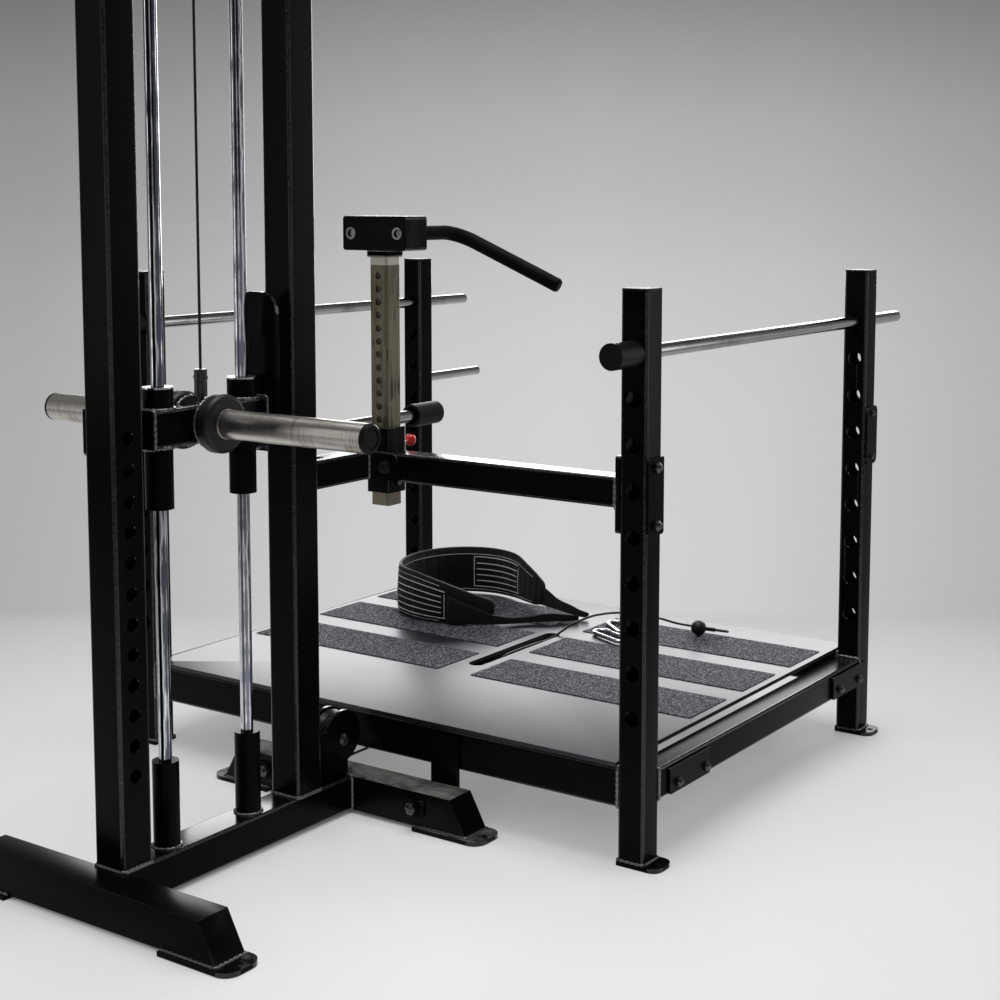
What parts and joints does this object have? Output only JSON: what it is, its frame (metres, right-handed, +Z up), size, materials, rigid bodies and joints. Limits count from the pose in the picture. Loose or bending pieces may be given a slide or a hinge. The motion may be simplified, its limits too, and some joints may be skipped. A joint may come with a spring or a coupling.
{
  "type": "belt squat machine",
  "caption": "Cable tower with a plate-loaded carriage on guide rods, joined to a standing platform with posts, hand bars and a hip belt on a cable that rises through the deck.",
  "frame": {"origin": "on the floor, under the middle of the machine's outline, with the loose cable left out", "axes": "+Z up; +Y from the cable tower towards the platform; +X to the right, the side of the hand support"},
  "size_m": [1.304, 1.9175, 2.1135],
  "materials": {
    "black coat": "satin black powder coat",
    "deck coat": "smooth satin black coat",
    "chrome": "polished hard chrome",
    "worn steel": "brushed bare steel with rub marks",
    "bright steel": "bright plated steel",
    "zinc": "zinc plated",
    "post steel": "matt grey-brown steel",
    "dark bolts": "black oxide",
    "black plastic": "fine-grained matt plastic",
    "wheel plastic": "smooth nylon",
    "rubber": "matt rubber",
    "grip": "coarse speckled anti-slip sheet",
    "red plastic": "glossy red plastic",
    "cable": "coated wire rope",
    "belt cloth": "padded black cloth with stitched edges"
  },
  "bodies": {
    "frame": {"near_upright": "black coat", "rear_upright": "black coat", "top_beam": "black coat", "base_beam": "black coat", "near_foot": "black coat", "rear_foot": "black coat", "guide_rods": "chrome", "rod_stops": "black coat", "pulley_plates": "black coat", "pulley_axles": "dark bolts", "link_plates": "black coat", "front_posts": "black coat", "rear_posts": "black coat", "post_caps": "black plastic", "cross_beams": "black coat", "side_beams": "black coat", "deck_stringers": "black coat", "deck_plate": "deck coat", "grip_strips": "grip", "bolt_plates": "black coat", "dome_bolts": "dark bolts", "hex_bolts": "dark bolts", "storage_peg": "chrome", "support_arm": "black coat", "support_crossbar": "black coat", "post_socket": "black coat", "pin_barrel": "zinc", "latch_bearing": "black coat", "cable_run": "cable", "cable_lift": "cable", "cable_tail": "cable", "cable_end": "rubber", "belt": "belt cloth", "snap_hooks": "bright steel"},
    "carriage": {"carriage_beam": "black coat", "carriage_sleeves": "black coat", "slide_bushes": "bright steel", "end_plate": "black coat", "guide_ear": "black coat", "plate_horns": "worn steel", "horn_bumpers": "rubber", "horn_plugs": "black plastic", "cable_fitting": "dark bolts"},
    "hand post": {"handle_post": "post steel", "head_block": "black coat", "handle": "black coat", "handle_bolts": "bright steel"},
    "height pin": {"height_pin": "red plastic"},
    "right hand bar": {"right_hand_bar": "chrome", "right_knob": "black plastic"},
    "left hand bar": {"left_hand_bar": "chrome", "left_knob": "black plastic"},
    "latch": {"latch_bar": "chrome", "latch_grip": "black plastic"},
    "top near pulley": {"sheave_top_near": "wheel plastic"},
    "top rear pulley": {"sheave_top_rear": "wheel plastic"},
    "floor pulley": {"sheave_floor": "wheel plastic"},
    "deck pulley": {"sheave_deck": "wheel plastic"},
    "near hook gate": {"hook_gate_near": "bright steel"},
    "far hook gate": {"hook_gate_far": "bright steel"}
  },
  "joints": [
    {"name": "carriage_slide", "type": "slide", "parent": "frame", "child": "carriage", "axis": [0, 0, 1], "range_m": [0, 0.8], "deforming": ["cable_lift"]},
    {"name": "latch_slide", "type": "slide", "parent": "frame", "child": "latch", "axis": [0, 1, 0], "range_m": [0, 0.045]},
    {"name": "hand_post_slide", "type": "slide", "parent": "frame", "child": "hand post", "axis": [0, 0, 1], "range_m": [-0.3, 0.075]},
    {"name": "height_pin_slide", "type": "slide", "parent": "frame", "child": "height pin", "axis": [0, 1, 0], "range_m": [-0.012, 0]},
    {"name": "right_hand_bar_slide", "type": "slide", "parent": "frame", "child": "right hand bar", "axis": [0, -1, 0], "range_m": [0, 0.9]},
    {"name": "left_hand_bar_slide", "type": "slide", "parent": "frame", "child": "left hand bar", "axis": [0, -1, 0], "range_m": [0, 0.9]},
    {"name": "top_near_pulley_spin", "type": "hinge", "parent": "frame", "child": "top near pulley", "pos_m": [0, -0.61625, 2.062], "axis": [1, 0, 0], "continuous": true},
    {"name": "top_rear_pulley_spin", "type": "hinge", "parent": "frame", "child": "top rear pulley", "pos_m": [0, -0.42625, 2.062], "axis": [1, 0, 0], "continuous": true},
    {"name": "floor_pulley_spin", "type": "hinge", "parent": "frame", "child": "floor pulley", "pos_m": [0, -0.33225, 0.145], "axis": [1, 0, 0], "continuous": true},
    {"name": "deck_pulley_spin", "type": "hinge", "parent": "frame", "child": "deck pulley", "pos_m": [0, 0.17075, 0.132], "axis": [1, 0, 0], "continuous": true},
    {"name": "near_hook_gate_swing", "type": "hinge", "parent": "frame", "child": "near hook gate", "pos_m": [0.1551, 0.46899, 0.1893], "axis": [0, 0, 1], "range_deg": [0, 20], "stiffness_Nm_per_rad": 0.05},
    {"name": "far_hook_gate_swing", "type": "hinge", "parent": "frame", "child": "far hook gate", "pos_m": [0.1344, 0.53568, 0.1893], "axis": [0, 0, 1], "range_deg": [0, 20], "stiffness_Nm_per_rad": 0.05}
  ],
  "couplings": [
    {"joint": "top_near_pulley_spin", "follows": "carriage_slide", "rad_per_m": -21.277},
    {"joint": "top_rear_pulley_spin", "follows": "carriage_slide", "rad_per_m": -21.277},
    {"joint": "floor_pulley_spin", "follows": "carriage_slide", "rad_per_m": 21.277},
    {"joint": "deck_pulley_spin", "follows": "carriage_slide", "rad_per_m": 29.412}
  ]
}
